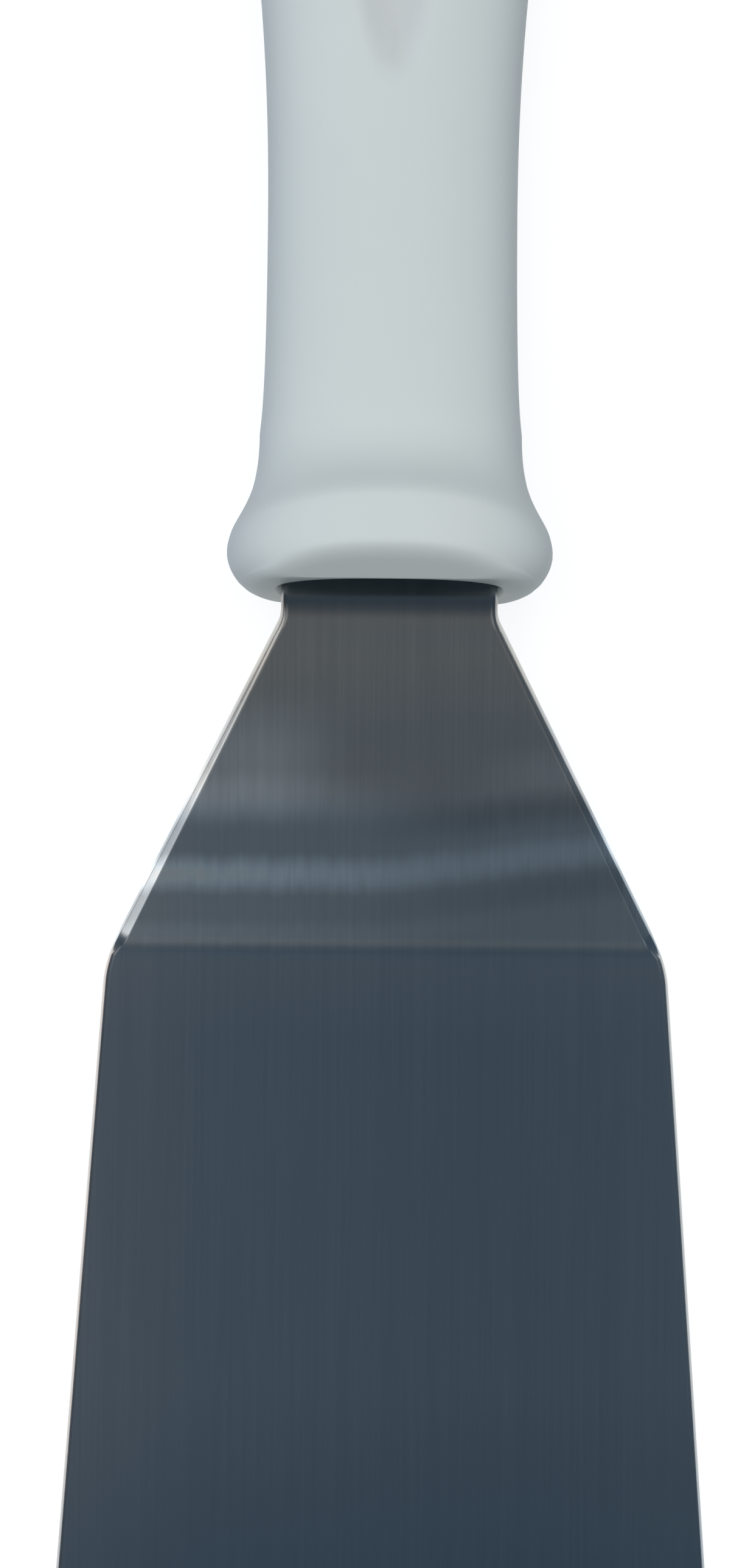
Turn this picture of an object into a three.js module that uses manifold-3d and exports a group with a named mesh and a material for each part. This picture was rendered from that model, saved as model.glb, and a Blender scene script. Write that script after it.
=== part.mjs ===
// Offset cake spatula: blade, neck and tang are one steel sheet bent twice, in a moulded plastic handle.
// Millimetres. +Z is up, the handle points to +Y, and the origin is the middle of the blade's underside.
import * as THREE from "three";
import { mergeVertices } from "three/addons/utils/BufferGeometryUtils.js";
import Module from "manifold-3d";

const wasm = await Module();
wasm.setup();

// Sheet and blade
const SHEET_THICKNESS = 2;
const EDGE_RADIUS = 0.9;
const BLADE_LENGTH = 130;
const TIP_WIDTH = 79.6;
const HEEL_WIDTH = 62.6;
const TIP_CORNER_RADIUS = 4;
const TIP_THICKNESS = 0.8;
const BEVEL_LENGTH = 7;

// Neck, sloped up from the blade to the handle (slope in degrees, bend radii on the inside)
const NECK_SLOPE = 40;
const NECK_RISE = 27.5;
const NECK_WIDTH = 23.6;
const NECK_FILLET = 4;
const NECK_FLARE_FROM_FACE = 2.7;
const NECK_LEAD = 0.5;
const SHOULDER_RADIUS = 13;
const SHOULDER_FROM_BEND = 1;
const BLADE_BEND_RADIUS = 3.5;
const TANG_BEND_RADIUS = 4;

// Tang inside the handle, with holes that the plastic fills
const SEAT_DEPTH = 6;
const SEAT_RADIUS = 1.5;
const TANG_WIDTH = 15;
const TANG_END_RADIUS = 4;
const TANG_FROM_BUTT = 44;
const LOCK_HOLE_COUNT = 3;
const LOCK_HOLE_DIAMETER = 6;
const LOCK_HOLE_FROM_FACE = 26;
const LOCK_HOLE_FROM_END = 14;
const FIT_GAP = 0.3;

// Handle, with distances from its front face or from the end of its butt
const HANDLE_LENGTH = 128;
const FACE_WIDTH = 27.6;
const FACE_HEIGHT = 18;
const MOUTH_RIM = 0.7;
const MOUTH_CLEARANCE = 0.5;
const MOUTH_DEPTH = 3;
const COLLAR_FROM_FACE = 4.2;
const COLLAR_WIDTH = 35.4;
const COLLAR_HEIGHT = 29.4;
const CREST_FROM_FACE = 8;
const FRONT_SLANT = 2.6;
const FRONT_RADIUS = 3.2;
const BOW_FROM_FACE = 5;
const BOW_DEPTH = 2.6;
const THROAT_FROM_FACE = 17.2;
const THROAT_WIDTH = 28.5;
const THROAT_HEIGHT = 20.6;
const WAIST_FROM_FACE = 41;
const WAIST_WIDTH = 27.2;
const WAIST_HEIGHT = 20.2;
const PALM_FROM_BUTT = 33;
const PALM_WIDTH = 32.4;
const PALM_HEIGHT = 23.6;
const BUTT_WIDTH = 12;
const BUTT_HEIGHT = 9;
const SECTION_POWER = 2.5;

// Shallow oval hollow on top of the handle, and the hanging hole through its butt
const HOLLOW_FROM_BUTT = 49;
const HOLLOW_LENGTH = 48;
const HOLLOW_WIDTH = 11;
const HOLLOW_DEPTH = 1.4;
const HANG_HOLE_FROM_BUTT = 13;
const HANG_HOLE_DIAMETER = 9;
const HANG_HOLE_LIP_RADIUS = 4;
const HANG_HOLE_LIP_DEPTH = 2.6;

// Largest share of the sheet's thickness that one edge's rounding takes where the sheet is ground thin
const EDGE_SHARE = 0.45;

// Fineness of the meshes, and the distance below which two points are one
const EDGE_STEPS = 3;
const BEND_STEPS = 7;
const CURVE_STEPS = 10;
const FRONT_STEPS = 12;
const SECTION_POINTS = 44;
const ROUND_STEPS = 32;
const SAME_POINT = 1e-4;

// Places that follow from the sizes above
const slope = THREE.MathUtils.degToRad(NECK_SLOPE);
const bladeBend = BLADE_BEND_RADIUS + SHEET_THICKNESS / 2;
const tangBend = TANG_BEND_RADIUS + SHEET_THICKNESS / 2;
const bladeSetback = bladeBend * Math.tan(slope / 2);
const tangSetback = tangBend * Math.tan(slope / 2);
const heelY = BLADE_LENGTH / 2;
const neckTopY = heelY + NECK_RISE / Math.tan(slope);
const faceY = neckTopY + tangSetback + NECK_LEAD;
const axisZ = SHEET_THICKNESS / 2 + NECK_RISE;
const tangLength = HANDLE_LENGTH - TANG_FROM_BUTT;

// Distances along the middle of the sheet, from the tip to the end of the tang
const heelS = BLADE_LENGTH - bladeSetback;
const neckStartS = heelS + bladeBend * slope;
const neckEndS = neckStartS + NECK_RISE / Math.sin(slope) - bladeSetback - tangSetback;
const leadS = neckEndS + tangBend * slope;
const faceS = leadS + NECK_LEAD;

// A run of straight lines through corners [x, y, radius], each corner rounded with an arc
function roundedPath(corners) {
  const points = corners.map(([x, y]) => new THREE.Vector2(x, y));
  const path = new THREE.Path().moveTo(points[0].x, points[0].y);
  for (let i = 1; i < points.length - 1; i += 1) {
    const into = new THREE.Vector2().subVectors(points[i], points[i - 1]).normalize();
    const out = new THREE.Vector2().subVectors(points[i + 1], points[i]).normalize();
    const turn = Math.atan2(into.cross(out), into.dot(out));
    const side = Math.sign(turn);
    const radius = corners[i][2];
    const start = points[i].clone().addScaledVector(into, -radius * Math.tan(Math.abs(turn) / 2));
    const centre = start.clone().addScaledVector(new THREE.Vector2(-into.y, into.x), side * radius);
    const from = Math.atan2(start.y - centre.y, start.x - centre.x);
    path.lineTo(start.x, start.y);
    path.absarc(centre.x, centre.y, radius, from, from + turn, side < 0);
  }
  const end = points[points.length - 1];
  return path.lineTo(end.x, end.y);
}

// Points along a path without the repeats where two curves meet
function pathPoints(path, steps) {
  const points = path.getPoints(steps);
  return points.filter((point, i) => i === 0 || point.distanceTo(points[i - 1]) > SAME_POINT);
}

// A closed surface through rings that all have the same number of points, with flat ends
function loft(rings) {
  const count = rings[0].length;
  const index = [];
  for (let row = 0; row < rings.length - 1; row += 1) {
    for (let i = 0; i < count; i += 1) {
      const a = row * count + i;
      const b = row * count + ((i + 1) % count);
      index.push(a, a + count, b, b, a + count, b + count);
    }
  }
  const last = (rings.length - 1) * count;
  for (let i = 1; i < count - 1; i += 1) {
    index.push(0, i, i + 1);
    index.push(last, last + i + 1, last + i);
  }
  return new THREE.BufferGeometry().setFromPoints(rings.flat()).setIndex(index);
}

// Solid for joining and cutting, from a geometry whose matching points are merged
function toSolid(geometry) {
  const bare = new THREE.BufferGeometry();
  bare.setAttribute("position", geometry.getAttribute("position"));
  bare.setIndex(geometry.getIndex());
  const merged = mergeVertices(bare, SAME_POINT);
  const corners = Array.from(merged.getIndex().array);
  const triVerts = [];
  for (let i = 0; i < corners.length; i += 3) {
    const triangle = corners.slice(i, i + 3);
    if (new Set(triangle).size === 3) {
      triVerts.push(...triangle);
    }
  }
  const vertProperties = new Float32Array(merged.getAttribute("position").array);
  const mesh = new wasm.Mesh({ numProp: 3, vertProperties, triVerts: new Uint32Array(triVerts) });
  return new wasm.Manifold(mesh);
}

function toMesh(name, solid, look) {
  const { vertProperties, triVerts } = solid.getMesh();
  const geometry = new THREE.BufferGeometry();
  geometry.setAttribute("position", new THREE.BufferAttribute(new Float32Array(vertProperties), 3));
  geometry.setIndex(new THREE.BufferAttribute(new Uint32Array(triVerts), 1));
  geometry.computeVertexNormals();
  const mesh = new THREE.Mesh(geometry, new THREE.MeshStandardMaterial(look));
  mesh.name = name;
  return mesh;
}

// Half outline of the tang as corners, from where the full neck width ends inside the handle
function tangCorners(grow) {
  const seatS = faceS + SEAT_DEPTH + grow;
  const endS = faceS + tangLength + grow;
  const seatRadius = Math.min(SEAT_RADIUS, (NECK_WIDTH - TANG_WIDTH) / 4);
  return [
    [seatS, NECK_WIDTH / 2 + grow, seatRadius + grow],
    [seatS, TANG_WIDTH / 2 + grow, seatRadius - grow],
    [endS, TANG_WIDTH / 2 + grow, TANG_END_RADIUS + grow],
    [endS, 0],
  ];
}

// Half outline of the flat sheet: x is the distance from the tip, y the half width
function blankOutline() {
  return roundedPath([
    [0, 0],
    [0, TIP_WIDTH / 2, TIP_CORNER_RADIUS],
    [heelS - SHOULDER_FROM_BEND, HEEL_WIDTH / 2, SHOULDER_RADIUS],
    [faceS - NECK_FLARE_FROM_FACE, NECK_WIDTH / 2, NECK_FILLET],
    ...tangCorners(0),
  ]);
}

// Side view of the sheet's middle, with its two bends, from the tip to just past the tang
function sidePath() {
  return roundedPath([
    [-BLADE_LENGTH / 2, SHEET_THICKNESS / 2],
    [heelY, SHEET_THICKNESS / 2, bladeBend],
    [neckTopY, axisZ, tangBend],
    [faceY + HANDLE_LENGTH, axisZ],
  ]);
}

// Section of the sheet with rounded edges, as [across, height above the underside]
function sheetSection(halfWidth, thickness) {
  const radius = Math.min(EDGE_RADIUS, EDGE_SHARE * thickness);
  const section = [];
  for (let corner = 0; corner < 4; corner += 1) {
    const across = corner % 3 === 0 ? halfWidth - radius : radius - halfWidth;
    const height = corner < 2 ? thickness - radius : radius;
    for (let i = 0; i <= EDGE_STEPS; i += 1) {
      const angle = (Math.PI / 2) * (corner + i / EDGE_STEPS);
      section.push([across + radius * Math.cos(angle), height + radius * Math.sin(angle)]);
    }
  }
  return section;
}

function evenSteps(from, to, count) {
  return Array.from({ length: count + 1 }, (_, i) => from + ((to - from) * i) / count);
}

// The outline's points with more stations where the sheet bends and where the bevel ends
function sheetStations() {
  const outline = pathPoints(blankOutline(), BEND_STEPS).slice(1, -1);
  const added = [
    BEVEL_LENGTH,
    ...evenSteps(heelS, neckStartS, BEND_STEPS),
    ...evenSteps(neckEndS, leadS, BEND_STEPS),
  ];
  const stations = [];
  outline.forEach((point, i) => {
    stations.push(point);
    const next = outline[i + 1] ?? point;
    const between = added.filter((s) => s > point.x + SAME_POINT && s < next.x - SAME_POINT);
    between.forEach((s) => {
      stations.push(point.clone().lerp(next, (s - point.x) / (next.x - point.x)));
    });
  });
  return stations;
}

// Upright cylinder at one of the tang's lock holes
function lockPost(i, diameter, height) {
  const radius = diameter / 2;
  const pitch = (tangLength - LOCK_HOLE_FROM_FACE - LOCK_HOLE_FROM_END) / (LOCK_HOLE_COUNT - 1);
  const post = new THREE.CylinderGeometry(radius, radius, height, ROUND_STEPS).rotateX(Math.PI / 2);
  return toSolid(post.translate(0, faceY + LOCK_HOLE_FROM_FACE + i * pitch, axisZ));
}

// The flat sheet, ground thin at the tip and carried round its two bends, with the tang's lock holes
function buildBlade() {
  const path = sidePath();
  const rings = sheetStations().map(({ x: s, y: halfWidth }) => {
    const share = s / path.getLength();
    const middle = path.getPoint(share);
    const along = path.getTangent(share);
    const ground = THREE.MathUtils.lerp(TIP_THICKNESS, SHEET_THICKNESS, s / BEVEL_LENGTH);
    return sheetSection(halfWidth, Math.min(ground, SHEET_THICKNESS)).map(([across, height]) => {
      const lift = height - SHEET_THICKNESS / 2;
      return new THREE.Vector3(across, middle.x - along.y * lift, middle.y + along.x * lift);
    });
  });
  let sheet = toSolid(loft(rings));
  for (let i = 0; i < LOCK_HOLE_COUNT; i += 1) {
    sheet = sheet.subtract(lockPost(i, LOCK_HOLE_DIAMETER, 4 * SHEET_THICKNESS));
  }
  return sheet;
}

// Stations of the grip; before and after set how far each curve runs level, as shares of its span
const WIDTHS = [
  { at: COLLAR_FROM_FACE, size: COLLAR_WIDTH, after: 0.27 },
  { at: THROAT_FROM_FACE, size: THROAT_WIDTH, before: 0.68, after: 0.04 },
  { at: WAIST_FROM_FACE, size: WAIST_WIDTH, before: 0.92, after: 0.48 },
  { at: HANDLE_LENGTH - PALM_FROM_BUTT, size: PALM_WIDTH, before: 0.42, after: 0.62 },
];
const HEIGHTS = [
  { at: CREST_FROM_FACE, size: COLLAR_HEIGHT, after: 0.18 },
  { at: THROAT_FROM_FACE, size: THROAT_HEIGHT, before: 0.54, after: 0.3 },
  { at: WAIST_FROM_FACE, size: WAIST_HEIGHT, before: 0.3, after: 0.48 },
  { at: HANDLE_LENGTH - PALM_FROM_BUTT, size: PALM_HEIGHT, before: 0.42, after: 0.62 },
];
const BUTT_ROUNDING = 0.78;

// Front of the collar from above: a quarter of an ellipse from the front face to the widest place
function collarSide() {
  const [reach, face] = [COLLAR_FROM_FACE, FACE_WIDTH / 2];
  const path = new THREE.Path().moveTo(0, face);
  return path.absellipse(reach, face, reach, COLLAR_WIDTH / 2 - face, Math.PI, Math.PI / 2, true);
}

// Front of the collar from the side: a steep slant, rounded over to the level crest
function collarTop() {
  return roundedPath([
    [0, FACE_HEIGHT / 2],
    [FRONT_SLANT, COLLAR_HEIGHT / 2, FRONT_RADIUS],
    [CREST_FROM_FACE, COLLAR_HEIGHT / 2],
  ]);
}

// Half outline of the handle: x is the distance from the front face, y half the width or height
function gripOutline(path, stations, butt) {
  for (let i = 1; i < stations.length; i += 1) {
    const [from, to] = [stations[i - 1], stations[i]];
    const leave = from.at + from.after * (to.at - from.at);
    const arrive = to.at - to.before * (to.at - from.at);
    path.bezierCurveTo(leave, from.size / 2, arrive, to.size / 2, to.at, to.size / 2);
  }
  const palm = stations[stations.length - 1];
  const leave = palm.at + palm.after * PALM_FROM_BUTT;
  const round = THREE.MathUtils.lerp(butt, palm.size, BUTT_ROUNDING) / 2;
  path.bezierCurveTo(leave, palm.size / 2, HANDLE_LENGTH, round, HANDLE_LENGTH, butt / 2);
  return pathPoints(path, CURVE_STEPS);
}

const gripWidths = gripOutline(collarSide(), WIDTHS, BUTT_WIDTH);
const gripHeights = gripOutline(collarTop(), HEIGHTS, BUTT_HEIGHT);

// Half width or height of the handle at a distance from its front face
function halfAt(outline, distance) {
  const passed = outline.filter((point) => point.x < distance).length;
  const i = THREE.MathUtils.clamp(passed, 1, outline.length - 1);
  const [before, after] = [outline[i - 1], outline[i]];
  return THREE.MathUtils.mapLinear(distance, before.x, after.x, before.y, after.y);
}

// How far the collar's sides reach forward of its top and underside
function bowAt(distance) {
  const rising = THREE.MathUtils.smoothstep(distance, 0, BOW_FROM_FACE);
  const falling = THREE.MathUtils.smoothstep(distance, BOW_FROM_FACE, THROAT_FROM_FACE);
  return BOW_DEPTH * (rising - falling);
}

// Section of the handle, between an ellipse and a rectangle, with its sides bowed forward at the collar
function gripRing(distance) {
  const bow = bowAt(distance);
  const halfWidth = halfAt(gripWidths, distance - bow);
  const halfHeight = halfAt(gripHeights, distance);
  const swell = (value) => Math.sign(value) * Math.abs(value) ** (2 / SECTION_POWER);
  return Array.from({ length: SECTION_POINTS }, (_, i) => {
    const angle = (2 * Math.PI * i) / SECTION_POINTS;
    const share = swell(Math.cos(angle));
    const y = faceY + distance - bow * share * share;
    return new THREE.Vector3(halfWidth * share, y, axisZ + halfHeight * swell(Math.sin(angle)));
  });
}

// Distances of the handle's sections, closest where the collar's front rounds over
function gripStations() {
  const turns = evenSteps(0, Math.PI / 2, FRONT_STEPS).slice(0, -1);
  const front = turns.map((turn) => CREST_FROM_FACE * (1 - Math.cos(turn)));
  const behind = gripHeights.filter((point) => point.x >= CREST_FROM_FACE);
  return [...front, ...behind.map((point) => point.x)];
}

// Room for the tang, open at the front face and crossed by the posts that fill the lock holes
function tangSocket() {
  const half = pathPoints(
    roundedPath([
      [faceS - NECK_LEAD, 0],
      [faceS - NECK_LEAD, NECK_WIDTH / 2 + FIT_GAP, 0],
      ...tangCorners(FIT_GAP),
    ]),
    BEND_STEPS,
  );
  const outline = half.map((point) => new THREE.Vector2(point.y, faceY + point.x - faceS));
  const mirrored = outline.slice(1, -1).reverse().map((point) => new THREE.Vector2(-point.x, point.y));
  const depth = SHEET_THICKNESS + 2 * FIT_GAP;
  const shape = new THREE.Shape([...outline, ...mirrored]);
  const slot = new THREE.ExtrudeGeometry(shape, { depth, bevelEnabled: false });
  let socket = toSolid(slot.translate(0, 0, axisZ - depth / 2));
  for (let i = 0; i < LOCK_HOLE_COUNT; i += 1) {
    socket = socket.subtract(lockPost(i, LOCK_HOLE_DIAMETER - 2 * FIT_GAP, 2 * depth));
  }
  return socket;
}

// Deep dish in the front face, just wider than the neck, which leaves a lip above and below it
function mouthCutter() {
  const across = NECK_WIDTH / 2 + MOUTH_CLEARANCE;
  const high = FACE_HEIGHT / 2 - MOUTH_RIM;
  const dish = new THREE.SphereGeometry(1, ROUND_STEPS, ROUND_STEPS / 2).scale(across, MOUTH_DEPTH, high);
  return toSolid(dish.translate(0, faceY, axisZ));
}

// Long ellipsoid that leaves an oval of the named length and width in the crowned top
function hollowCutter() {
  const at = HANDLE_LENGTH - HOLLOW_FROM_BUTT;
  const top = halfAt(gripHeights, at);
  const front = halfAt(gripHeights, at - HOLLOW_LENGTH / 2);
  const rear = halfAt(gripHeights, at + HOLLOW_LENGTH / 2);
  const side = HOLLOW_WIDTH / 2;
  const crown = (1 - (side / halfAt(gripWidths, at)) ** SECTION_POWER) ** (1 / SECTION_POWER);
  const sag = HOLLOW_DEPTH + top * (1 - crown);
  const round = (side * side + sag * sag) / (2 * sag);
  const level = 1 - (HOLLOW_DEPTH + top - (front + rear) / 2) / round;
  const long = HOLLOW_LENGTH / 2 / Math.sqrt(1 - level * level);
  const ball = new THREE.SphereGeometry(1, 3 * ROUND_STEPS, 2 * ROUND_STEPS).scale(round, long, round);
  ball.rotateX(Math.atan2(rear - front, HOLLOW_LENGTH));
  return toSolid(ball.translate(0, faceY + at, axisZ + top + round - HOLLOW_DEPTH));
}

// Upright hole with a rounded lip at both faces
function hangHoleCutter() {
  const at = HANDLE_LENGTH - HANG_HOLE_FROM_BUTT;
  const top = halfAt(gripHeights, at);
  const bore = HANG_HOLE_DIAMETER / 2;
  const wide = bore + HANG_HOLE_LIP_RADIUS;
  const lip = top - HANG_HOLE_LIP_DEPTH;
  const far = 2 * PALM_HEIGHT;
  const wall = new THREE.Path().moveTo(0, -far).lineTo(wide, -far);
  wall.absarc(wide, -lip, HANG_HOLE_LIP_RADIUS, -Math.PI / 2, -Math.PI, true);
  wall.absarc(wide, lip, HANG_HOLE_LIP_RADIUS, Math.PI, Math.PI / 2, true);
  wall.lineTo(wide, far).lineTo(0, far);
  const cutter = new THREE.LatheGeometry(pathPoints(wall, BEND_STEPS), ROUND_STEPS).rotateX(Math.PI / 2);
  return toSolid(cutter.translate(0, faceY + at, axisZ));
}

function buildHandle() {
  const rings = gripStations().map(gripRing);
  const cutters = [tangSocket(), mouthCutter(), hollowCutter(), hangHoleCutter()];
  return cutters.reduce((body, cutter) => body.subtract(cutter), toSolid(loft(rings)));
}

const spatula = new THREE.Group();
spatula.name = "offset_cake_spatula";
spatula.add(toMesh("blade", buildBlade(), { color: 0xa9b0b6, metalness: 0.9, roughness: 0.35 }));
spatula.add(toMesh("handle", buildHandle(), { color: 0xeef1f0, metalness: 0, roughness: 0.5 }));

export default spatula;
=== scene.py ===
"""Looks, light and camera of the offset cake spatula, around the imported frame.

Sizes are in millimetres in the part's own frame; a mesh's points become metres when it is made.
Floor, lamps and camera distance are in metres.
"""
import bisect
import math

import bmesh
import bpy
from mathutils import Matrix, Vector


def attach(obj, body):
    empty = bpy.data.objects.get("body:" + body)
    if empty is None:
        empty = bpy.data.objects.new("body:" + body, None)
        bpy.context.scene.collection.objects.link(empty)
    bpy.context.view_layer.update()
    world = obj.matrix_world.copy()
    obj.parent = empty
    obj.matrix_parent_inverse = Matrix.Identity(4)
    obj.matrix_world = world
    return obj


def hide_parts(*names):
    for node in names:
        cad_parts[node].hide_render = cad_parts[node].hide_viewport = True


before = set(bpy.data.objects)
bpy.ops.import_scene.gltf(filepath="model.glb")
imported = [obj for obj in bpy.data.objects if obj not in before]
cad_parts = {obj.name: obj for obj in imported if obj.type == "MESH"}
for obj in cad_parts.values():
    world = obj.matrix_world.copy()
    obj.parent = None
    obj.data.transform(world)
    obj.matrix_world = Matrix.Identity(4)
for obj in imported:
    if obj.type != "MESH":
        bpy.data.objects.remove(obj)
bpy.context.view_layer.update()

MM = 0.001

# Sheet and blade, as in the part's source
SHEET_THICKNESS = 2
EDGE_RADIUS = 0.9
EDGE_SHARE = 0.45
BLADE_LENGTH = 130
TIP_WIDTH = 79.6
HEEL_WIDTH = 62.6
TIP_CORNER_RADIUS = 4
TIP_THICKNESS = 0.8
BEVEL_LENGTH = 7

# Neck and tang, as in the part's source
NECK_SLOPE = math.radians(40)
NECK_RISE = 27.5
NECK_WIDTH = 23.6
NECK_FILLET = 4
NECK_FLARE_FROM_FACE = 2.7
NECK_LEAD = 0.5
SHOULDER_RADIUS = 13
SHOULDER_FROM_BEND = 1
BLADE_BEND_RADIUS = 3.5
TANG_BEND_RADIUS = 4
SEAT_DEPTH = 6
SEAT_RADIUS = 1.5
TANG_WIDTH = 15
TANG_END_RADIUS = 4
TANG_FROM_BUTT = 44
FIT_GAP = 0.3

# Handle, as in the part's source
HANDLE_LENGTH = 128
FACE_WIDTH = 27.6
FACE_HEIGHT = 18
MOUTH_RIM = 0.7
MOUTH_CLEARANCE = 0.5
MOUTH_DEPTH = 3
COLLAR_FROM_FACE = 4.2
COLLAR_WIDTH = 35.4
COLLAR_HEIGHT = 29.4
CREST_FROM_FACE = 8
FRONT_SLANT = 2.6
BOW_DEPTH = 2.6
THROAT_FROM_FACE = 17.2
THROAT_WIDTH = 28.5
THROAT_HEIGHT = 20.6
WAIST_FROM_FACE = 41
WAIST_WIDTH = 27.2
WAIST_HEIGHT = 20.2
PALM_FROM_BUTT = 33
PALM_WIDTH = 32.4
PALM_HEIGHT = 23.6
BUTT_WIDTH = 12
BUTT_HEIGHT = 9
BUTT_ROUNDING = 0.78
SECTION_POWER = 2.5
HOLLOW_FROM_BUTT = 49
HOLLOW_LENGTH = 48
HOLLOW_WIDTH = 11
HOLLOW_DEPTH = 1.4
HANG_HOLE_FROM_BUTT = 13
HANG_HOLE_DIAMETER = 9
HANG_HOLE_LIP_RADIUS = 4
HANG_HOLE_LIP_DEPTH = 2.6

# Stations of the grip: distance from the front face, size,
# and the shares of the curves before and after that run level
WIDTHS = [
    (COLLAR_FROM_FACE, COLLAR_WIDTH, None, 0.27),
    (THROAT_FROM_FACE, THROAT_WIDTH, 0.68, 0.04),
    (WAIST_FROM_FACE, WAIST_WIDTH, 0.92, 0.48),
    (HANDLE_LENGTH - PALM_FROM_BUTT, PALM_WIDTH, 0.42, 0.62),
]
HEIGHTS = [
    (CREST_FROM_FACE, COLLAR_HEIGHT, None, 0.25),
    (THROAT_FROM_FACE, THROAT_HEIGHT, 0.6, 0.3),
    (WAIST_FROM_FACE, WAIST_HEIGHT, 0.3, 0.48),
    (HANDLE_LENGTH - PALM_FROM_BUTT, PALM_HEIGHT, 0.42, 0.62),
]

# Details that are finer here than in the part's source
GRIND_WIDTH = 1.0
GRIND_SLOPE = math.radians(35)
GRIND_RADIUS = 0.45
GRIND_RISE = 1.5
SEAT_TAPER = 3
NOSE_FROM_FACE = 4.7
NOSE_HEIGHT = 25.6
FRONT_EASE = 2
BOW_FROM_FACE = 4
LIP_ROUNDING = 0.35
HOLLOW_WALL = 4
HOLE_EASE = 1.2
SEAM_HALF_WIDTHS = (0.12, 0.34)
SEAM_HEIGHTS = (0.06, 0.042)

# Fineness of the meshes
EDGE_STEPS = 6
ARC_STEPS = 14
BEND_STEPS = 28
CURVE_STEPS = 40
LIP_STEPS = 3
SECTION_COLUMNS = 24
MOUTH_SHARES = (0, 0.04, 0.12, 0.25, 0.4, 0.55, 0.7, 0.82, 0.9, 0.95, 0.98)
HOLE_ANGLES = [math.radians(degrees) for degrees in (62, 50, 40, 30, 20, 10, 0)]
HOLE_MARGIN = 3
CAP_SHARES = (0.9, 0.6, 0.3)
EDGE_MARGIN = 0.3
STATION_GAP = 0.08
WELD_GAP = 0.0005

# Places along the flat sheet, from its tip; the bends are measured at the sheet's middle
blade_bend = BLADE_BEND_RADIUS + SHEET_THICKNESS / 2
tang_bend = TANG_BEND_RADIUS + SHEET_THICKNESS / 2
tang_setback = tang_bend * math.tan(NECK_SLOPE / 2)
heel_s = BLADE_LENGTH - blade_bend * math.tan(NECK_SLOPE / 2)
neck_start_s = heel_s + blade_bend * NECK_SLOPE
neck_run = NECK_RISE / math.sin(NECK_SLOPE) - (BLADE_LENGTH - heel_s) - tang_setback
neck_end_s = neck_start_s + neck_run
lead_s = neck_end_s + tang_bend * NECK_SLOPE
face_s = lead_s + NECK_LEAD

# Places in the part's frame, and places on the handle from its front face
tip_y = -BLADE_LENGTH / 2
heel_y = BLADE_LENGTH / 2
face_y = heel_y + NECK_RISE / math.tan(NECK_SLOPE) + tang_setback + NECK_LEAD
axis_z = SHEET_THICKNESS / 2 + NECK_RISE
tang_length = HANDLE_LENGTH - TANG_FROM_BUTT
mouth_reach = (NECK_WIDTH / 2 + MOUTH_CLEARANCE, FACE_HEIGHT / 2 - MOUTH_RIM)
front_rise = (COLLAR_HEIGHT - FACE_HEIGHT) / 2 / FRONT_SLANT
hollow_from_face = HANDLE_LENGTH - HOLLOW_FROM_BUTT
hollow_reach = (HOLLOW_WIDTH / 2, HOLLOW_LENGTH / 2)
hole_from_face = HANDLE_LENGTH - HANG_HOLE_FROM_BUTT
hole_radius = HANG_HOLE_DIAMETER / 2


def clamp(value, low, high):
    return max(low, min(high, value))


def mix(a, b, share):
    return a + (b - a) * share


def smooth_min(a, b, ease):
    """The smaller value, rounded where the two differ by less than the ease."""
    near = max(ease - abs(a - b), 0) / ease
    return min(a, b) - near * near * ease / 4


def smooth_step(value):
    share = clamp(value, 0, 1)
    return share * share * (3 - 2 * share)


def quarter_turns(steps):
    return [math.pi / 2 * i / steps for i in range(steps + 1)]


def rounded_path(corners, steps):
    """Points along straight lines through corners (x, y, radius), each corner rounded with an arc."""
    points = []
    for before, corner, after in zip(corners, corners[1:], corners[2:]):
        here = Vector(corner[:2])
        into = (here - Vector(before[:2])).normalized()
        out = (Vector(after[:2]) - here).normalized()
        turn = math.atan2(into.x * out.y - into.y * out.x, into.dot(out))
        radius = corner[2]
        start = here - into * radius * math.tan(abs(turn) / 2)
        arm = Vector((into.y, -into.x)) * math.copysign(radius, turn)
        centre = start - arm
        for i in range(steps + 1):
            points.append(centre + Matrix.Rotation(turn * i / steps, 2) @ arm)
    return points


def join_rings(bm, first, second, open_columns=()):
    """A band of faces between two rings of points, left open at some columns."""
    for i in range(len(first)):
        if i not in open_columns:
            after = (i + 1) % len(first)
            bm.faces.new((first[i], first[after], second[after], second[i]))


def finish_mesh(bm, name, node, material):
    """Makes a smooth object in metres from millimetres, which stands for a node of the frame."""
    bmesh.ops.remove_doubles(bm, verts=bm.verts, dist=WELD_GAP)
    bmesh.ops.recalc_face_normals(bm, faces=bm.faces)
    bmesh.ops.scale(bm, vec=(MM, MM, MM), verts=bm.verts)
    for face in bm.faces:
        face.smooth = True
    mesh = bpy.data.meshes.new(name)
    bm.to_mesh(mesh)
    bm.free()
    mesh.materials.append(material)
    piece = bpy.data.objects.new(name, mesh)
    bpy.context.scene.collection.objects.link(piece)
    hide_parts(node)
    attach(piece, "root")


# Blade


def sheet_place(s, across, lift):
    """Point of the bent sheet, from distances along it, across it and over its middle."""
    first = clamp((s - heel_s) / blade_bend, 0, NECK_SLOPE)
    second = clamp((s - neck_end_s) / tang_bend, 0, NECK_SLOPE)
    run = clamp(s - neck_start_s, 0, neck_run)
    left = NECK_SLOPE - second
    y = tip_y + min(s, heel_s) + blade_bend * math.sin(first) + run * math.cos(NECK_SLOPE)
    y += tang_bend * (math.sin(NECK_SLOPE) - math.sin(left)) + max(0, s - lead_s)
    z = SHEET_THICKNESS / 2 + blade_bend * (1 - math.cos(first)) + run * math.sin(NECK_SLOPE)
    z += tang_bend * (math.cos(left) - math.cos(NECK_SLOPE))
    angle = first - second
    return Vector((across, y - math.sin(angle) * lift, z + math.cos(angle) * lift))


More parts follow.
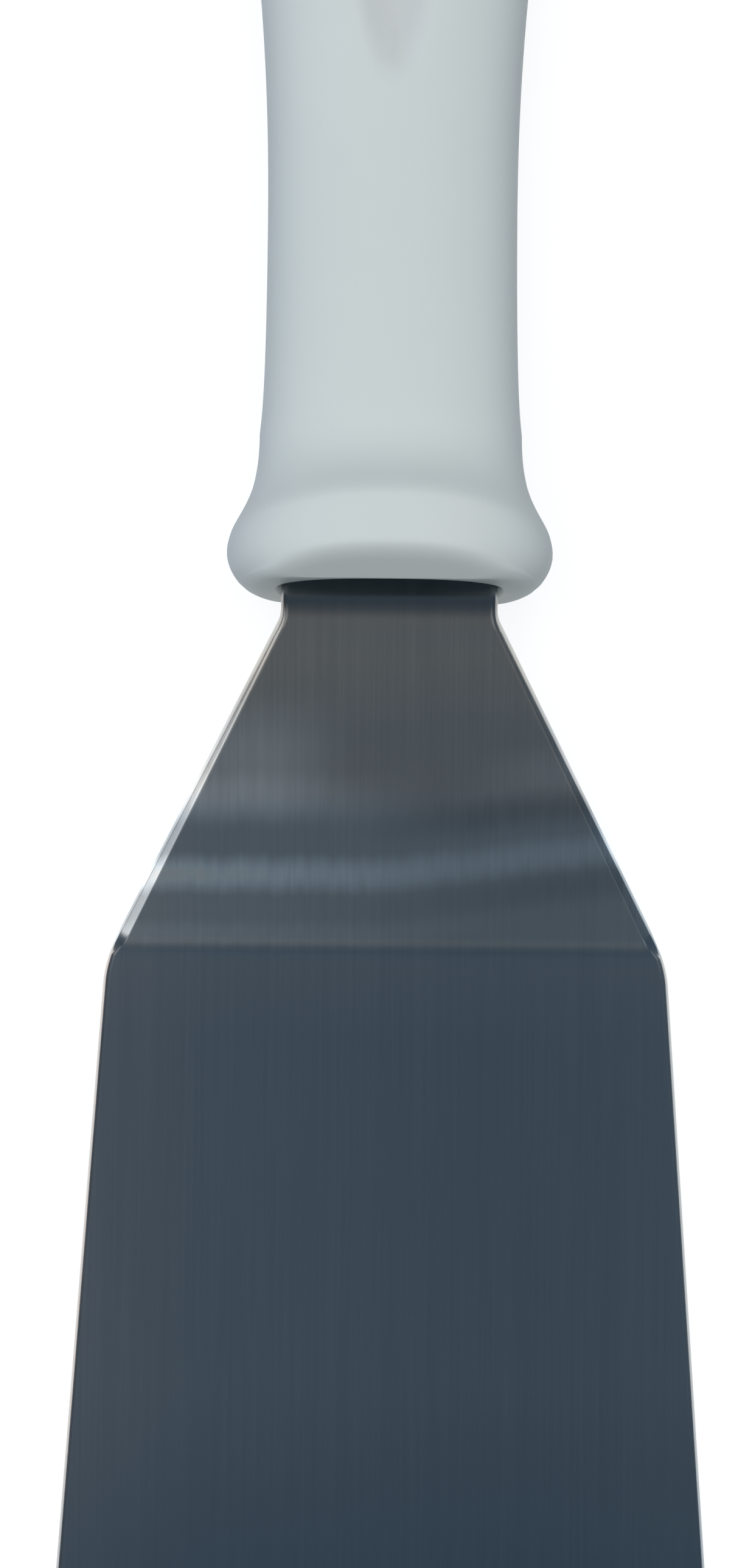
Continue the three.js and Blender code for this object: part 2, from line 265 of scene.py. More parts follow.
def sheet_thickness(s):
    return mix(TIP_THICKNESS, SHEET_THICKNESS, clamp(s / BEVEL_LENGTH, 0, 1))


def sheet_outline():
    """Half outline of the flat sheet with points where it bends, as (distance from the tip, half width)."""
    seat_s = face_s + SEAT_DEPTH
    end_s = face_s + tang_length
    points = rounded_path(
        [
            (0, 0),
            (0, TIP_WIDTH / 2, TIP_CORNER_RADIUS),
            (heel_s - SHOULDER_FROM_BEND, HEEL_WIDTH / 2, SHOULDER_RADIUS),
            (face_s - NECK_FLARE_FROM_FACE, NECK_WIDTH / 2, NECK_FILLET),
            (seat_s - SEAT_TAPER, NECK_WIDTH / 2, SEAT_RADIUS),
            (seat_s, TANG_WIDTH / 2, SEAT_RADIUS),
            (end_s, TANG_WIDTH / 2, TANG_END_RADIUS),
            (end_s, 0),
        ],
        ARC_STEPS,
    )
    added = [BEVEL_LENGTH - EDGE_MARGIN, BEVEL_LENGTH, BEVEL_LENGTH + EDGE_MARGIN]
    for start, end in ((heel_s, neck_start_s), (neck_end_s, lead_s)):
        added += [mix(start, end, i / BEND_STEPS) for i in range(-1, BEND_STEPS + 2)]
    outline = [points[0]]
    for point in points[1:]:
        last = outline[-1]
        for s in sorted(added):
            if last.x + STATION_GAP < s < point.x - STATION_GAP:
                outline.append(last.lerp(point, (s - last.x) / (point.x - last.x)))
        outline.append(point)
    return outline


def grind_share(s):
    """How far the upper edge goes from plain rounding to the full bevel, widest beside the heel."""
    return clamp((s - heel_s) / GRIND_RISE, 0, 1) * clamp((neck_end_s - s) / neck_run, 0, 1)


def edge_profile(s):
    """Edge of the sheet from its underside to its top, as (distance from the outline, height)."""
    thickness = sheet_thickness(s)
    share = grind_share(s)
    radius = min(EDGE_RADIUS, EDGE_SHARE * thickness)
    rounded_width = 2 * radius * math.tan(math.pi / 8) / math.sqrt(2)
    width = mix(rounded_width, GRIND_WIDTH, share)
    upper_radius = mix(radius, GRIND_RADIUS, share)
    drop = width * math.tan(mix(math.pi / 4, GRIND_SLOPE, share))
    inner = width + upper_radius / 2 + EDGE_MARGIN
    corners = [
        (inner, 0),
        (0, 0, radius),
        (0, thickness - drop, upper_radius),
        (width, thickness, upper_radius),
        (inner, thickness),
    ]
    return [corners[0], *rounded_path(corners, EDGE_STEPS), corners[-1]]


def sheet_columns(side):
    """Columns of points round the edge of one half of the sheet, from the tip to the end of the tang."""
    outline = sheet_outline()
    columns = []
    for i, point in enumerate(outline):
        before = outline[i - 1] if i else Vector((0, 0))
        after = outline[i + 1] if i + 1 < len(outline) else Vector((point.x, 0))
        along = (point - before).normalized() + (after - point).normalized()
        inward = Vector((along.y, -along.x)).normalized()
        column = []
        for inset, height in edge_profile(point.x):
            at = point + inward * inset
            top = sheet_thickness(at.x) / sheet_thickness(point.x)
            column.append(sheet_place(at.x, side * at.y, height * top - SHEET_THICKNESS / 2))
        columns.append(column)
    return columns


def build_blade(material):
    bm = bmesh.new()
    right, left = [
        [[bm.verts.new(point) for point in column] for column in sheet_columns(side)] for side in (1, -1)
    ]
    loop = right + left[::-1]
    for here, after in zip(loop, loop[1:] + loop[:1]):
        for row in range(len(here) - 1):
            bm.faces.new((here[row], after[row], after[row + 1], here[row + 1]))
    for row in (0, -1):
        for i in range(len(right) - 1):
            bm.faces.new((right[i][row], right[i + 1][row], left[i + 1][row], left[i][row]))
    finish_mesh(bm, "blade_sheet", "blade", material)


# Handle


def bezier(points, t):
    (a, b, c, d), u = points, 1 - t
    return u * u * u * a + 3 * u * u * t * b + 3 * u * t * t * c + t * t * t * d


def nose_curve(reach, face, full):
    """Quarter oval from the front face to the collar's full size, as (distance, half of the size)."""
    turns = quarter_turns(ARC_STEPS)
    return [(reach - reach * math.cos(a), mix(face / 2, full / 2, math.sin(a))) for a in turns]


def grip_curves(stations, butt):
    """The grip's outline behind its collar, as (distance from the front face, half of the size)."""
    curves = []
    for (start, size, _, level), (end, next_size, next_level, _) in zip(stations, stations[1:]):
        ends = (start, mix(start, end, level), mix(end, start, next_level), end)
        curves.append((ends, (size / 2, size / 2, next_size / 2, next_size / 2)))
    palm, size, _, level = stations[-1]
    wide, narrow = size / 2, butt / 2
    ends = (palm, mix(palm, HANDLE_LENGTH, level), HANDLE_LENGTH, HANDLE_LENGTH)
    curves.append((ends, (wide, wide, mix(narrow, wide, BUTT_ROUNDING), narrow)))
    outline = []
    for distances, halves in curves:
        for i in range(1, CURVE_STEPS + 1):
            outline.append((bezier(distances, i / CURVE_STEPS), bezier(halves, i / CURVE_STEPS)))
    return outline


grip_widths = [
    *nose_curve(COLLAR_FROM_FACE, FACE_WIDTH, COLLAR_WIDTH),
    *grip_curves(WIDTHS, BUTT_WIDTH),
]
grip_heights = [
    *nose_curve(NOSE_FROM_FACE, NOSE_HEIGHT, COLLAR_HEIGHT),
    (CREST_FROM_FACE, COLLAR_HEIGHT / 2),
    *grip_curves(HEIGHTS, BUTT_HEIGHT),
]


def half_at(outline, distance):
    i = clamp(bisect.bisect_left(outline, (distance,)), 1, len(outline) - 1)
    (d0, h0), (d1, h1) = outline[i - 1], outline[i]
    return mix(h0, h1, (distance - d0) / (d1 - d0))


def swell(value):
    """A sine or cosine, squared off for the handle's section."""
    return math.copysign(abs(value) ** (2 / SECTION_POWER), value)


def section_angles():
    """Angles round the handle, with close columns at both sides for the mould's parting line."""
    seam = [math.asin((w / (WAIST_HEIGHT / 2)) ** (SECTION_POWER / 2)) for w in SEAM_HALF_WIDTHS]
    first = [0, *seam, *quarter_turns(SECTION_COLUMNS)[1:]]
    half = first + [math.pi - a for a in reversed(first[:-1])]
    return half + [math.pi + a for a in half[1:-1]]


ANGLES = section_angles()
COLUMNS = len(ANGLES)
TOP_COLUMN = ANGLES.index(math.pi / 2)


def seam_lift(column):
    """Height of the mould's parting line, which runs along both sides of the handle."""
    from_side = min(column % (COLUMNS // 2), -column % (COLUMNS // 2))
    return SEAM_HEIGHTS[from_side] if from_side < len(SEAM_HEIGHTS) else 0


def hollow_drop(x, distance):
    """Depth of the oval hollow on top of the handle, whose wall slopes evenly from its rim."""
    reach_x, reach_y = hollow_reach
    at = Vector((x / reach_x, (distance - hollow_from_face) / reach_y))
    steepness = max(2 * math.hypot(at.x / reach_x, at.y / reach_y), 1e-6)
    share = (1 - at.length_squared) / steepness / HOLLOW_WALL
    return HOLLOW_DEPTH * smooth_step(share)


def bow_at(distance):
    """How far the sides of the collar reach forward of its top and underside."""
    falling = (THROAT_FROM_FACE - distance) / (THROAT_FROM_FACE - BOW_FROM_FACE)
    return BOW_DEPTH * smooth_step(distance / BOW_FROM_FACE) * smooth_step(falling)


def grip_ring(distance):
    """Section of the handle as points (x, distance, height over the axis).

    At the collar it is bowed, and a slanted front cuts off the top and underside of its nose.
    """
    bow = bow_at(distance)
    half_width = half_at(grip_widths, distance - bow)
    half_height = half_at(grip_heights, distance)
    ring = []
    for column, angle in enumerate(ANGLES):
        share = swell(math.cos(angle))
        x = half_width * share + math.copysign(seam_lift(column), share)
        y = distance - bow * share * share
        z = half_height * swell(math.sin(angle))
        front = FACE_HEIGHT / 2 + y * front_rise
        z = math.copysign(smooth_min(abs(z), front, FRONT_EASE), z)
        if z > 0:
            z -= hollow_drop(x, distance)
        ring.append((x, y, z))
    return ring


def section_ring(distance, half_width, half_height):
    return [(half_width * swell(math.cos(a)), distance, half_height * swell(math.sin(a))) for a in ANGLES]


def mouth_rings():
    """Rings from the end of the tang's socket out to the dish and the lip of the front face."""
    rim_x, rim_z = mouth_reach
    slot_x, slot_z = NECK_WIDTH / 2 + FIT_GAP, SHEET_THICKNESS / 2 + FIT_GAP
    rim = section_ring(0, rim_x, rim_z)
    slot = [(x * slot_x / rim_x, 0, clamp(z, -slot_z, slot_z)) for x, _, z in rim]
    tang_share = (TANG_WIDTH / 2 + FIT_GAP) / slot_x
    tang = [(x * tang_share, 0, z) for x, _, z in slot]
    end = tang_length + FIT_GAP
    seat = SEAT_DEPTH + FIT_GAP
    walls = ((tang, end), (tang, seat), (slot, seat - SEAT_TAPER))
    rings = [[(x, distance, z) for x, _, z in wall] for wall, distance in walls]
    for share in MOUTH_SHARES:
        ring = []
        for (x0, _, z0), (x1, _, z1) in zip(slot, rim):
            x, z = mix(x0, x1, share), mix(z0, z1, share)
            inside = max(0, 1 - abs(x / rim_x) ** SECTION_POWER - abs(z / rim_z) ** SECTION_POWER)
            ring.append((x, max(MOUTH_DEPTH * math.sqrt(inside), LIP_ROUNDING), z))
        rings.append(ring)
    for turn in quarter_turns(LIP_STEPS):
        out = LIP_ROUNDING * (1 - math.cos(turn))
        rings.append(section_ring(LIP_ROUNDING * (1 - math.sin(turn)), rim_x + out, rim_z + out))
    return rings


def handle_stations():
    """Distances of the outer rings from the front face, close together at the collar's front."""
    front = [CREST_FROM_FACE * (1 - math.cos(turn)) for turn in quarter_turns(CURVE_STEPS)[:-1]]
    return front + [distance for distance, _ in grip_heights if distance >= CREST_FROM_FACE]


def hole_height(x, distance, side):
    """Height over the axis of the top (side 1) or underside (side -1), eased into the hanging hole."""
    lip = half_at(grip_heights, hole_from_face) - HANG_HOLE_LIP_DEPTH
    reach = hole_radius + HANG_HOLE_LIP_RADIUS
    from_reach = clamp(reach - math.hypot(x, distance - hole_from_face), 0, HANG_HOLE_LIP_RADIUS)
    arc = lip + math.sqrt(HANG_HOLE_LIP_RADIUS**2 - from_reach**2)
    across = min(1, abs(x) / half_at(grip_widths, distance))
    crown = half_at(grip_heights, distance) * (1 - across**SECTION_POWER) ** (1 / SECTION_POWER)
    return side * smooth_min(crown, arc, HOLE_EASE)


def hole_patch(bm, border, side):
    """Rings of faces from a border of the grid down to the hole's wall; returns the wall's ring.

    The first ring lies halfway between the border and the outermost circle.
    """
    centre_y = face_y + hole_from_face
    radii = [hole_radius + HANG_HOLE_LIP_RADIUS * (1 - math.cos(a)) for a in HOLE_ANGLES]
    outer = border
    for radius in (None, *radii):
        ring = []
        for vert in border:
            arm = Vector((vert.co.x, vert.co.y - centre_y))
            reach = radius or mix(arm.length, radii[0], 0.5)
            x, y = arm.normalized() * reach
            z = hole_height(x, y + hole_from_face, side)
            ring.append(bm.verts.new((x, y + centre_y, axis_z + z)))
        join_rings(bm, outer, ring)
        outer = ring
    return outer


def patch_border(grid, first, last, left, right):
    """Points of the grid round the cells between two rows and two columns, in order."""
    border = [grid[first][column] for column in range(left, right)]
    border += [grid[row][right] for row in range(first, last)]
    border += [grid[last][column] for column in range(right, left, -1)]
    border += [grid[row][left] for row in range(last, first, -1)]
    return border


def match_ring(upper, lower):
    """The lower ring's points in the order in which they lie under the upper ring's."""
    return [min(lower, key=lambda v: (v.co.xy - u.co.xy).length) for u in upper]


def close_socket(bm, ring):
    """Strips from the top to the underside across the end of the tang's socket."""
    for i in range(COLUMNS // 2):
        corners = [ring[k % COLUMNS] for k in (i, i + 1, COLUMNS - i - 1, COLUMNS - i)]
        bm.faces.new(list(dict.fromkeys(corners)))


def close_butt(bm, ring):
    centre = bm.verts.new((0, face_y + HANDLE_LENGTH, axis_z))
    for i in range(COLUMNS):
        bm.faces.new((ring[i], ring[(i + 1) % COLUMNS], centre))


def build_handle(material):
    bm = bmesh.new()
    stations = handle_stations()
    inside = mouth_rings()
    outside = [grip_ring(distance) for distance in stations]
    cap = [[(x * share, y, z * share) for x, y, z in outside[-1]] for share in CAP_SHARES]
    rings = inside + outside + cap
    grid = [[bm.verts.new((x, face_y + y, axis_z + z)) for x, y, z in ring] for ring in rings]
    reach = hole_radius + HOLE_MARGIN
    rows = [i for i, distance in enumerate(stations) if abs(distance - hole_from_face) <= reach]
    first, last = len(inside) + rows[0], len(inside) + rows[-1]
    half = next(i for i in range(COLUMNS) if abs(outside[rows[0]][TOP_COLUMN + i][0]) > reach)
    walls = []
    open_columns = set()
    for side, middle in ((1, TOP_COLUMN), (-1, COLUMNS - TOP_COLUMN)):
        left, right = middle - half, middle + half
        open_columns.update(range(left, right))
        walls.append(hole_patch(bm, patch_border(grid, first, last, left, right), side))
    for row in range(len(grid) - 1):
        join_rings(bm, grid[row], grid[row + 1], open_columns if first <= row < last else ())
    close_socket(bm, grid[0])
    close_butt(bm, grid[-1])
    upper, lower = walls
    join_rings(bm, upper, match_ring(upper, lower))
    finish_mesh(bm, "handle_grip", "handle", material)


# Materials

WHITE = (1, 1, 1)

# Steel: tones of the brush lines, stretch of each kind of brush mark, and its roughness;
# a bump is given as its strength and its height in metres
STEEL_TONES = [(0.3, (0.425, 0.445, 0.46)), (0.7, (0.48, 0.497, 0.508))]
FINE_BRUSH = (2600, 25, 0)
BROAD_BRUSH = (420, 7, 0)
FINE_SHARE = 0.6
SMUDGE_SCALE = 60
STEEL_ROUGHNESS = (0.22, 0.27)
SMUDGE_ROUGHNESS = (-0.02, 0.03)
STEEL_BUMP = (0.04, 0.00002)

# Painted light and shade on the steel by distance from the handle's front face: painted shade towards the
# tip, bluish painted reflections beside the heel and up the neck, and painted shade where the steel goes
# into the mouth
STEEL_PAINTED_LIGHT = [
    (-165, (0.9, 0.93, 0.96)),
    (-104, (0.76, 0.83, 0.89)),
    (-84, WHITE),
    (-46, WHITE),
    (-37.5, (1.14, 1.09, 1.06)),
    (-35, (0.93, 1.02, 1.08)),
    (-23, (0.91, 1, 1.07)),
    (-20, (1, 0.98, 0.96)),
    (-14, (1, 0.99, 0.97)),
    (-7, (1.17, 1.09, 1)),
    (-3.5, (1.12, 1.06, 1)),
    (-2, (0.84, 0.78, 0.73)),
    (-1, (0.66, 0.62, 0.59)),
    (0.2, (0.95, 0.95, 0.95)),
    (2, WHITE),
]

# Painted light on the steel by distance from its middle line, brighter towards the left edge
STEEL_SIDE_LIGHT = [
    (-40, (1.6, 1.38, 1.25)),
    (-20, (1.15, 1.11, 1.08)),
    (10, WHITE),
    (22, WHITE),
    (40, (1.12, 1.1, 1.07)),
]

# Painted sheen, bright bands of painted reflection on the neck: each band's distance from the heel and half
# width, then a place across the neck and the strength there, at left and at right
PAINTED_SHEEN_BANDS = [
    (0.6, 1.8, (-19, 0.25), (13, 0)),
    (3.2, 2.6, (-13, 0.05), (17, -0.16)),
    (6.6, 2.4, (-18, 0.95), (9, 0.4)),
    (11.4, 2.6, (-4, 0), (9, -0.22)),
    (14.3, 3.2, (-15, 0.5), (4, 0)),
    (18, 7.5, (-12, 0.5), (-4, 0)),
    (14.5, 4, (8, 0), (17, 0.22)),
]
SHEEN_RISE = 0.12
SHEEN_RAGGED = 0.2
SHEEN_STREAKS = (0.82, 1.18)
RAGGED_BRUSH = (700, 30, 0)
STREAK_BRUSH = (900, 14, 0)

# Plastic: tones, the spark texture of the mould, painted shade in the hollow and painted shade inside the
# mouth;
# the fades go by the power of the distance from an oval's centre, which is 1 on its rim
PLASTIC_TONES = [(0.3, (0.775, 0.835, 0.81)), (0.7, (0.80, 0.85, 0.825))]
SPARK_SCALE = 5200
CLOUD_SCALE = 45
PLASTIC_ROUGHNESS = (0.42, 0.52)
CLOUD_ROUGHNESS = (-0.03, 0.03)
PLASTIC_BUMP = (0.1, 0.00004)
PLASTIC_IOR = 1.49
PLASTIC_SPECULAR = 0.25
HOLLOW_SHADE = (0.93, 0.905, 0.925)
HOLLOW_FADE = (0.6, 1.1)
MOUTH_SHADE = (0.125, 0.18, 0.215)
MOUTH_FADE = (0.93, 1.03)
SOCKET_FADE = 2
OUTSIDE = 2


def new_material(name):
    material = bpy.data.materials.new(name)
    material.use_nodes = True
    return material, material.node_tree.nodes["Principled BSDF"]


class Nodes:
    """Short names for the nodes that the materials and the room use."""

    def __init__(self, tree, coordinates="Object"):
        self.tree = tree
        self.coords = tree.nodes.new("ShaderNodeTexCoord").outputs[coordinates]

    def link(self, source, target):
        self.tree.links.new(source, target)

    def axis(self, name):
        node = self.tree.nodes.new("ShaderNodeSeparateXYZ")
        self.link(self.coords, node.inputs["Vector"])
        return node.outputs[name]

    def noise(self, scale, detail, roughness, vector=None):
        node = self.tree.nodes.new("ShaderNodeTexNoise")
        node.inputs["Scale"].default_value = scale
        node.inputs["Detail"].default_value = detail
        node.inputs["Roughness"].default_value = roughness
        self.link(vector or self.coords, node.inputs["Vector"])
        return node.outputs["Fac"]

    def brush(self, scale, detail=2, roughness=0.6):
        """Noise that is stretched along the tool, as brush marks are."""
        node = self.tree.nodes.new("ShaderNodeMapping")
        node.inputs["Scale"].default_value = scale
        self.link(self.coords, node.inputs["Vector"])
        return self.noise(1, detail, roughness, node.outputs["Vector"])

    def math(self, operation, first, second):
        node = self.tree.nodes.new("ShaderNodeMath")
        node.operation = operation
        for socket, value in zip(node.inputs, (first, second)):
            if isinstance(value, (int, float)):
                socket.default_value = value
            else:
                self.link(value, socket)
        return node.outputs["Value"]

    def multiply(self, first, second):
        """Product of two colours, or of a colour and a value."""
        node = self.tree.nodes.new("ShaderNodeVectorMath")
        node.operation = "MULTIPLY"
        self.link(first, node.inputs[0])
        self.link(second, node.inputs[1])
        return node.outputs["Vector"]

    def remap(self, value, low, high, start=0.3, end=0.7, clamped=True):
        """Range from low to high as the value goes from start to end, by default the middle of a noise."""
        node = self.tree.nodes.new("ShaderNodeMapRange")
        node.clamp = clamped
        node.inputs["From Min"].default_value = start
        node.inputs["From Max"].default_value = end
        node.inputs["To Min"].default_value = low
        node.inputs["To Max"].default_value = high
        self.link(value, node.inputs["Value"])
        return node.outputs["Result"]

    def ramp(self, value, stops):
        node = self.tree.nodes.new("ShaderNodeValToRGB")
        elements = node.color_ramp.elements
        while len(elements) < len(stops):
            elements.new(0.5)
        for element, (place, colour) in zip(elements, stops):
            element.position = place
            element.color = (*colour, 1)
        self.link(value, node.inputs["Fac"])
        return node.outputs["Color"]

    def ramp_along(self, place, stops, origin):
        """Ramp along a coordinate, whose stops are given in millimetres from an origin."""
        start, end = stops[0][0], stops[-1][0]
        share = self.remap(place, 0, 1, (origin + start) * MM, (origin + end) * MM)
        return self.ramp(share, [((at - start) / (end - start), colour) for at, colour in stops])

    def oval(self, centre, reach, axes, power):
        """Power of the distance from an oval's centre, 1 on its rim, in millimetres along two axes."""
        terms = []
        for name, middle, half in zip(axes, centre, reach):
            share = self.remap(self.axis(name), -1, 1, (middle - half) * MM, (middle + half) * MM, False)
            terms.append(self.math("POWER", self.math("ABSOLUTE", share, 0), power))
        return self.math("ADD", *terms)

    def bump(self, height, strength, distance):
        node = self.tree.nodes.new("ShaderNodeBump")
        node.inputs["Strength"].default_value = strength
        node.inputs["Distance"].default_value = distance
        self.link(height, node.inputs["Height"])
        return node.outputs["Normal"]


def painted_sheen_gain(n, x, y):
    """How much brighter the steel is painted in bands of sheen, painted reflections which rise towards the
    right.
    """
    ragged = n.brush(RAGGED_BRUSH, detail=1, roughness=0.5)
    curved = n.math("SUBTRACT", y, n.math("MULTIPLY", n.math("MAXIMUM", x, 0), SHEEN_RISE))
    curved = n.math("ADD", curved, n.remap(ragged, -SHEEN_RAGGED * MM, SHEEN_RAGGED * MM))
    streaks = n.remap(n.brush(STREAK_BRUSH), *SHEEN_STREAKS)
    gain = 1
    for distance, half, (left, at_left), (right, at_right) in PAINTED_SHEEN_BANDS:
        middle = heel_y + distance
        place = n.remap(curved, -1, 1, (middle - half) * MM, (middle + half) * MM)
        bell = n.math("POWER", n.math("SUBTRACT", 1, n.math("MULTIPLY", place, place)), 2)
        strength = n.remap(x, at_left, at_right, left * MM, right * MM)
        gain = n.math("ADD", gain, n.math("MULTIPLY", n.math("MULTIPLY", bell, strength), streaks))
    return gain


def brushed_steel():
    """Steel brushed lengthwise, with painted light and shade along and across it and painted sheen on the
    neck.
    """
    material, shader = new_material("brushed_steel")
    n = Nodes(material.node_tree)
    x, y = n.axis("X"), n.axis("Y")
    fine = n.brush(FINE_BRUSH)
    broad = n.brush(BROAD_BRUSH, detail=3)
    smudge = n.noise(SMUDGE_SCALE, detail=4, roughness=0.6)
    streak = n.math("ADD", n.math("MULTIPLY", fine, FINE_SHARE), n.math("MULTIPLY", broad, 1 - FINE_SHARE))
    # Painted light and shade: ramps along and across the steel stand in for its reflections and shadows
    painted_light = n.multiply(n.ramp_along(y, STEEL_PAINTED_LIGHT, face_y), n.ramp_along(x, STEEL_SIDE_LIGHT, 0))
    colour = n.multiply(n.ramp(streak, STEEL_TONES), painted_light)
    rough = n.math("ADD", n.remap(streak, *STEEL_ROUGHNESS), n.remap(smudge, *SMUDGE_ROUGHNESS))
    # Painted sheen: bands of painted reflection brighten the base colour
    n.link(n.multiply(colour, painted_sheen_gain(n, x, y)), shader.inputs["Base Color"])
    n.link(rough, shader.inputs["Roughness"])
    n.link(n.bump(fine, *STEEL_BUMP), shader.inputs["Normal"])
    shader.inputs["Metallic"].default_value = 1
    return material


def white_plastic():
    """Satin plastic, with painted shade in the hollow and inside the mouth round the neck."""
    material, shader = new_material("white_plastic")
    n = Nodes(material.node_tree)
    spark = n.noise(SPARK_SCALE, detail=2, roughness=0.6)
    cloud = n.noise(CLOUD_SCALE, detail=3, roughness=0.5)
    hollow = n.oval((0, face_y + hollow_from_face), hollow_reach, "XY", 2)
    # Painted shade in the hollow on top of the handle
    hollow_shade = n.ramp(n.remap(hollow, 0, 1, *HOLLOW_FADE), [(0, HOLLOW_SHADE), (1, WHITE)])
    mouth = n.oval((0, axis_z), mouth_reach, "XZ", SECTION_POWER)
    seat_y = face_y + SEAT_DEPTH
    behind = n.remap(n.axis("Y"), 0, OUTSIDE, seat_y * MM, (seat_y + SOCKET_FADE) * MM)
    inside = n.remap(n.math("MAXIMUM", mouth, behind), 0, 1, *MOUTH_FADE)
    # Painted shade inside the mouth round the neck, up to the tang's seat
    mouth_shade = n.ramp(inside, [(0, MOUTH_SHADE), (1, WHITE)])
    colour = n.multiply(n.multiply(n.ramp(cloud, PLASTIC_TONES), hollow_shade), mouth_shade)
    rough = n.math("ADD", n.remap(spark, *PLASTIC_ROUGHNESS), n.remap(cloud, *CLOUD_ROUGHNESS))
    n.link(colour, shader.inputs["Base Color"])
    n.link(rough, shader.inputs["Roughness"])
    n.link(n.bump(spark, *PLASTIC_BUMP), shader.inputs["Normal"])
    shader.inputs["IOR"].default_value = PLASTIC_IOR
    shader.inputs["Specular IOR Level"].default_value = PLASTIC_SPECULAR
    return material


# Studio

FLOOR_SIZE = 40
FLOOR_DROP = 0.0002
FLOOR_TONE = (0.25, 0.275, 0.285)
FLOOR_ROUGHNESS = 0.9
FLOOR_GLOW = 0.85
LAMP_CENTRE = Vector((0, 0.08, 0))

# Glints: the direction and the watts at each side, and the direction at each end
SHINE_SIDES = [("left", -0.5, 0.3), ("right", 0.5, 0.25)]
SHINE_ENDS = [("tip", -0.5), ("butt", 0.55)]
SHINE_RISE = 0.7

# Tones of the room from the tip's side over the zenith to the butt's side, and from left to right
ROOM_TONES = [
    (0.0, (0.13, 0.159, 0.188)),
    (0.05, (0.143, 0.166, 0.19)),
    (0.17, (0.163, 0.181, 0.194)),
    (0.3, (0.093, 0.121, 0.15)),
    (0.45, (0.075, 0.113, 0.155)),
    (0.57, (0.091, 0.128, 0.173)),
    (0.75, (0.088, 0.125, 0.163)),
    (0.92, (0.11, 0.14, 0.17)),
    (1.0, (0.25, 0.27, 0.29)),
]
ROOM_SIDES = [
    (0.0, (0.5, 0.5, 0.5)),
    (0.25, WHITE),
    (0.75, WHITE),
    (1.0, (0.9, 0.9, 0.9)),
]


def floor_white():
    """White that glows for the camera and in reflections, but throws little light on the part."""
    material, shader = new_material("floor_white")
    tree = material.node_tree
    n = Nodes(tree)
    light = tree.nodes.new("ShaderNodeLightPath").outputs
    seen = n.math("MAXIMUM", light["Is Camera Ray"], light["Is Glossy Ray"])
    seen = n.math("MAXIMUM", seen, light["Is Transmission Ray"])
    n.link(n.math("MULTIPLY", seen, FLOOR_GLOW), shader.inputs["Emission Strength"])
    shader.inputs["Emission Color"].default_value = (*WHITE, 1)
    shader.inputs["Base Color"].default_value = (*FLOOR_TONE, 1)
    shader.inputs["Roughness"].default_value = FLOOR_ROUGHNESS
    shader.inputs["Specular IOR Level"].default_value = 0
    return material


def add_floor(material):
    bm = bmesh.new()
    bmesh.ops.create_grid(bm, x_segments=1, y_segments=1, size=FLOOR_SIZE / 2)
    mesh = bpy.data.meshes.new("floor")
    bm.to_mesh(mesh)
    bm.free()
    mesh.materials.append(material)
    floor = bpy.data.objects.new("floor", mesh)
    floor.location.z = -FLOOR_DROP
    bpy.context.scene.collection.objects.link(floor)


def add_world():
    """Dim room whose tone changes along and across the tool."""
    world = bpy.data.worlds.new("studio")
    world.use_nodes = True
    n = Nodes(world.node_tree, "Generated")
    along = n.ramp(n.remap(n.axis("Y"), 0, 1, -1, 1), ROOM_TONES)
    across = n.ramp(n.remap(n.axis("X"), 0, 1, -1, 1), ROOM_SIDES)
    n.link(n.multiply(along, across), world.node_tree.nodes["Background"].inputs["Color"])
    bpy.context.scene.world = world


def add_softbox(name, direction, distance, size, power, colour=WHITE, glossy=True, diffuse=True):
    """Square lamp that faces the middle of the tool and isn't seen by the camera."""
    data = bpy.data.lights.new(name, "AREA")
    data.shape = "SQUARE"
    data.size = size
    data.energy = power
    data.color = colour
    lamp = bpy.data.objects.new(name, data)
    away = Vector(direction).normalized()
    lamp.location = LAMP_CENTRE + away * distance
    lamp.rotation_mode = "QUATERNION"
    lamp.rotation_quaternion = away.to_track_quat("Z", "Y")
    lamp.visible_camera = False
    lamp.visible_glossy = glossy
    lamp.visible_diffuse = diffuse
    bpy.context.scene.collection.objects.link(lamp)


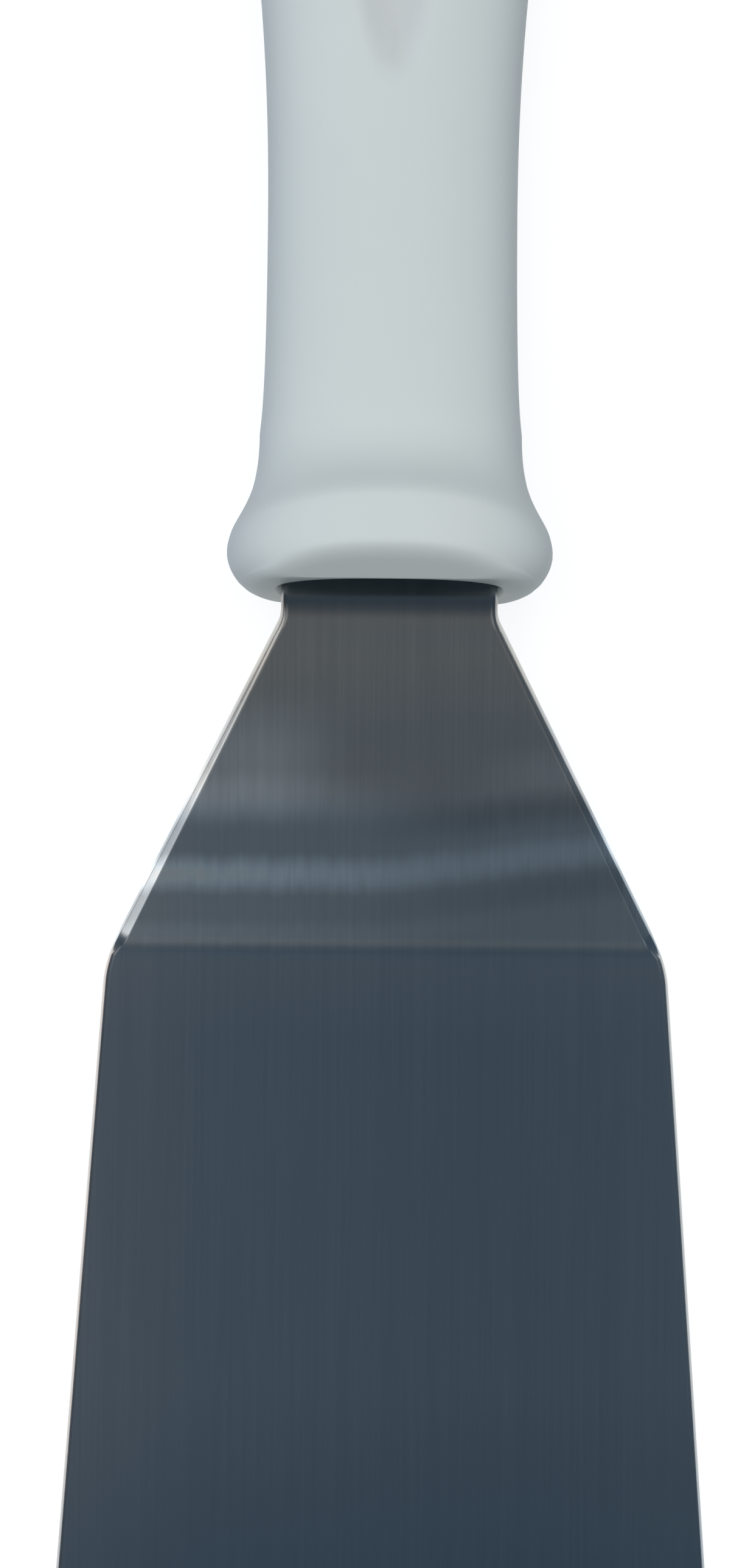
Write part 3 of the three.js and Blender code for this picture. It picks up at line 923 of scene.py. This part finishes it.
def add_lamps():
    """Soft light from above and both sides, a rim for the neck's left edge and four weak glints.

    Each lamp is given by its direction, distance, side length, watts and colour.
    """
    add_softbox("overhead", (-0.04, -0.02, 1), 1.3, 0.5, 9.0, (1, 0.985, 0.965), glossy=False)
    add_softbox("fill_left", (-1, 0.05, 0.28), 1.2, 0.4, 2.2, (0.66, 0.76, 1), glossy=False)
    add_softbox("rim_left", (-0.86, -0.43, 0.29), 1.2, 0.5, 0.75, diffuse=False)
    add_softbox("fill_right", (1, 0.05, 0.3), 1.2, 0.4, 1.1, (0.8, 0.82, 1), glossy=False)
    for side, sideways, power in SHINE_SIDES:
        for end, forward in SHINE_ENDS:
            add_softbox(f"shine_{end}_{side}", (sideways, forward, SHINE_RISE), 1.2, 0.6, power)


# Camera, fitted to the photograph's outlines

IMAGE_HEIGHT = 2576
FOCAL_PIXELS = 14700
SENSOR_SIZE = 36
CAMERA_DISTANCE = 1.0
CAMERA_ELEVATION = math.radians(82)
CAMERA_AZIMUTH = math.radians(-0.35)
CAMERA_ROLL = math.radians(0.86)
CAMERA_TARGET = Vector((-1.26, 82.917, 0)) * MM


def add_camera():
    data = bpy.data.cameras.new("camera")
    data.sensor_width = SENSOR_SIZE
    data.lens = FOCAL_PIXELS / IMAGE_HEIGHT * SENSOR_SIZE
    camera = bpy.data.objects.new("camera", data)
    level = math.cos(CAMERA_ELEVATION)
    back_x = math.sin(CAMERA_AZIMUTH) * level
    back_y = -math.cos(CAMERA_AZIMUTH) * level
    back = Vector((back_x, back_y, math.sin(CAMERA_ELEVATION)))
    camera.location = CAMERA_TARGET + back * CAMERA_DISTANCE
    aim = back.to_track_quat("Z", "Y").to_matrix()
    camera.rotation_mode = "QUATERNION"
    camera.rotation_quaternion = (aim @ Matrix.Rotation(CAMERA_ROLL, 3, "Z")).to_quaternion()
    bpy.context.scene.collection.objects.link(camera)
    bpy.context.scene.camera = camera


build_blade(brushed_steel())
build_handle(white_plastic())
add_floor(floor_white())
add_world()
add_lamps()
add_camera()
bpy.context.scene.view_settings.view_transform = "Standard"
